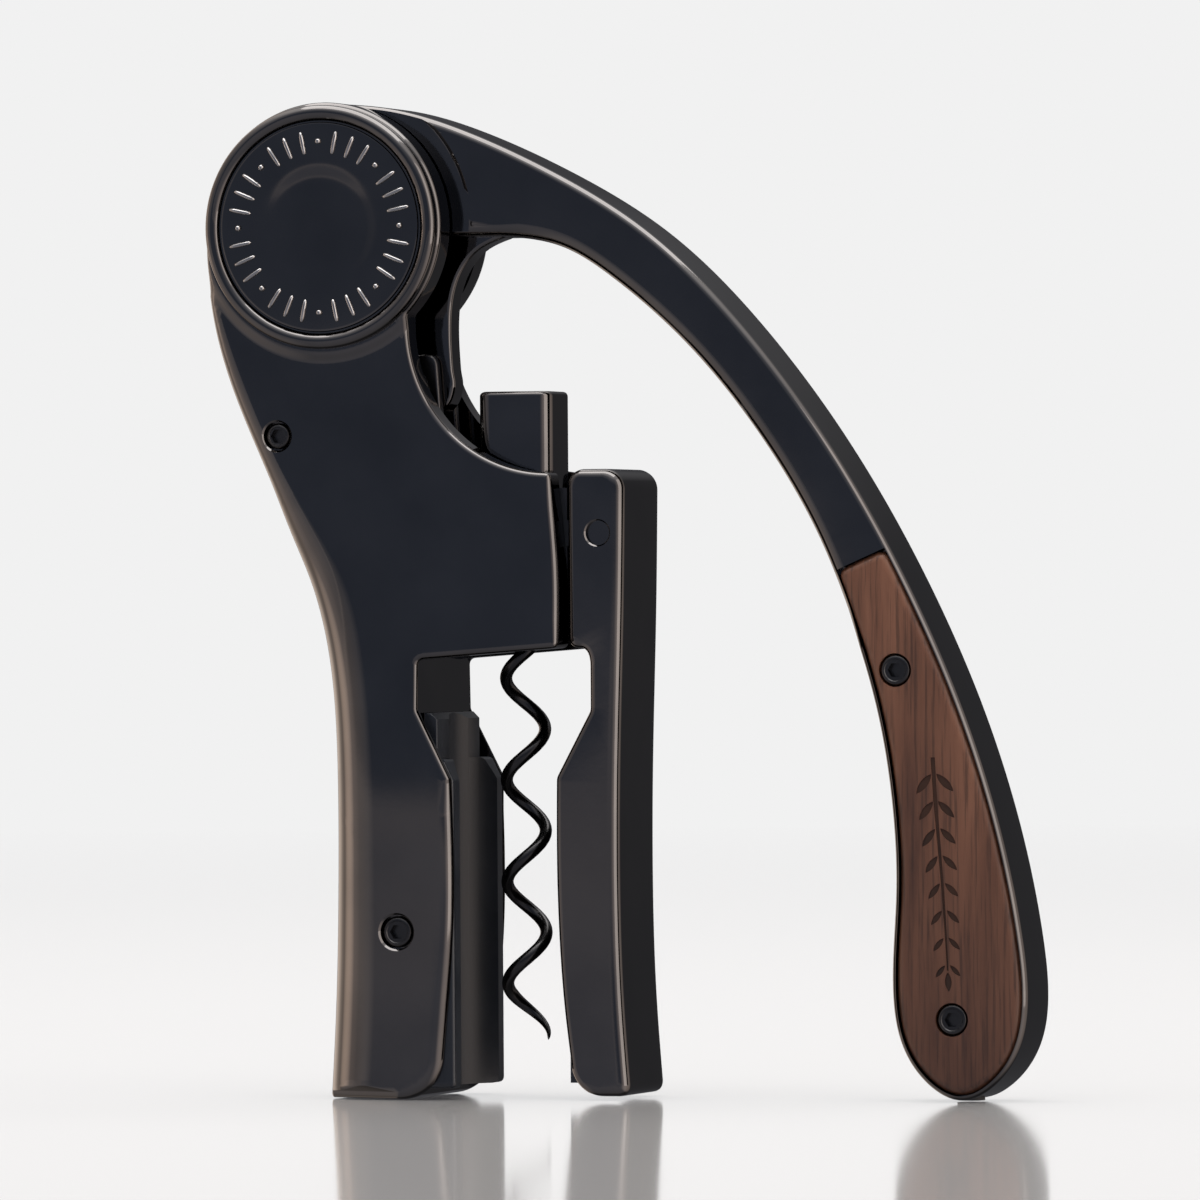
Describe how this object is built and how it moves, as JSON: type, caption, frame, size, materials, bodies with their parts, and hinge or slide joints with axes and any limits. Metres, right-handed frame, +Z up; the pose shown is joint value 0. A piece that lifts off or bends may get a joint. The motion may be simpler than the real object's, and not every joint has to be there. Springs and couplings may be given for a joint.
{
  "type": "lever corkscrew",
  "caption": "Lever corkscrew: a curved lever with wooden scales drives a worm down through a nut, over a bottle clamp.",
  "frame": {"origin": "centre of the bounding box's underside, on the surface that the grip, the clamp and the lever's foot stand on", "axes": "+X from the grip towards the lever, +Y from the front cap to the rear cap, +Z up along the worm"},
  "size_m": [0.1566, 0.0328, 0.185],
  "materials": {
    "gunmetal": "high gloss",
    "walnut": "oiled",
    "liner": "satin",
    "worm_coating": "satin",
    "nut_plastic": "satin",
    "satin_casting": "satin",
    "steel": "turned",
    "black_steel": "black oxide",
    "bronze": "satin",
    "foot_rubber": "matt"
  },
  "bodies": {
    "frame": {"front_shell": "gunmetal", "rear_shell": "gunmetal", "front_hub_cap": "gunmetal", "rear_hub_cap": "gunmetal", "hub_axle": "steel", "guide_block": "satin_casting", "worm_nut": "nut_plastic", "nut_retainer": "steel", "left_neck_liner": "liner", "front_body_screws": "black_steel", "rear_body_screws": "black_steel", "body_inserts": "steel", "clamp_pin": "black_steel"},
    "lever": {"lever_arm": "gunmetal", "front_walnut_scale": "walnut", "rear_walnut_scale": "walnut", "hub_bush": "bronze", "crank_pin": "steel", "lever_foot": "foot_rubber", "front_handle_screws": "black_steel", "rear_handle_screws": "black_steel", "handle_inserts": "steel"},
    "carriage": {"carriage": "gunmetal", "slider_pin": "steel"},
    "links": {"front_link": "black_steel", "rear_link": "black_steel", "link_studs": "steel"},
    "worm": {"worm": "worm_coating", "worm_collar": "steel", "thrust_washer": "bronze"},
    "clamp": {"clamp_jaw": "gunmetal", "clamp_liner": "liner"}
  },
  "joints": [
    {"name": "lever_hinge", "type": "hinge", "parent": "frame", "child": "lever", "pos_m": [-0.0549, 0, 0.1618], "axis": [0, -1, 0], "range_deg": [0, 150]},
    {"name": "carriage_slide", "type": "slide", "parent": "frame", "child": "carriage", "axis": [0, 0, 1], "range_m": [0, 0.06605]},
    {"name": "link_hinge", "type": "hinge", "parent": "carriage", "child": "links", "pos_m": [-0.0369, 0, 0.0946], "axis": [0, -1, 0], "range_deg": [0, 21.63]},
    {"name": "worm_spin", "type": "hinge", "parent": "carriage", "child": "worm", "pos_m": [-0.0203, 0, 0.06], "axis": [0, 0, 1], "range_deg": [0, 1257.1]},
    {"name": "clamp_hinge", "type": "hinge", "parent": "frame", "child": "clamp", "pos_m": [-0.0023, 0, 0.1046], "axis": [0, -1, 0], "range_deg": [0, 7]}
  ],
  "couplings": [
    {"joint": "carriage_slide", "follows": "lever_hinge", "m_per_rad": 0.02519},
    {"joint": "link_hinge", "follows": "lever_hinge", "ratio": 0.14355},
    {"joint": "worm_spin", "follows": "lever_hinge", "ratio": 8.3742}
  ]
}
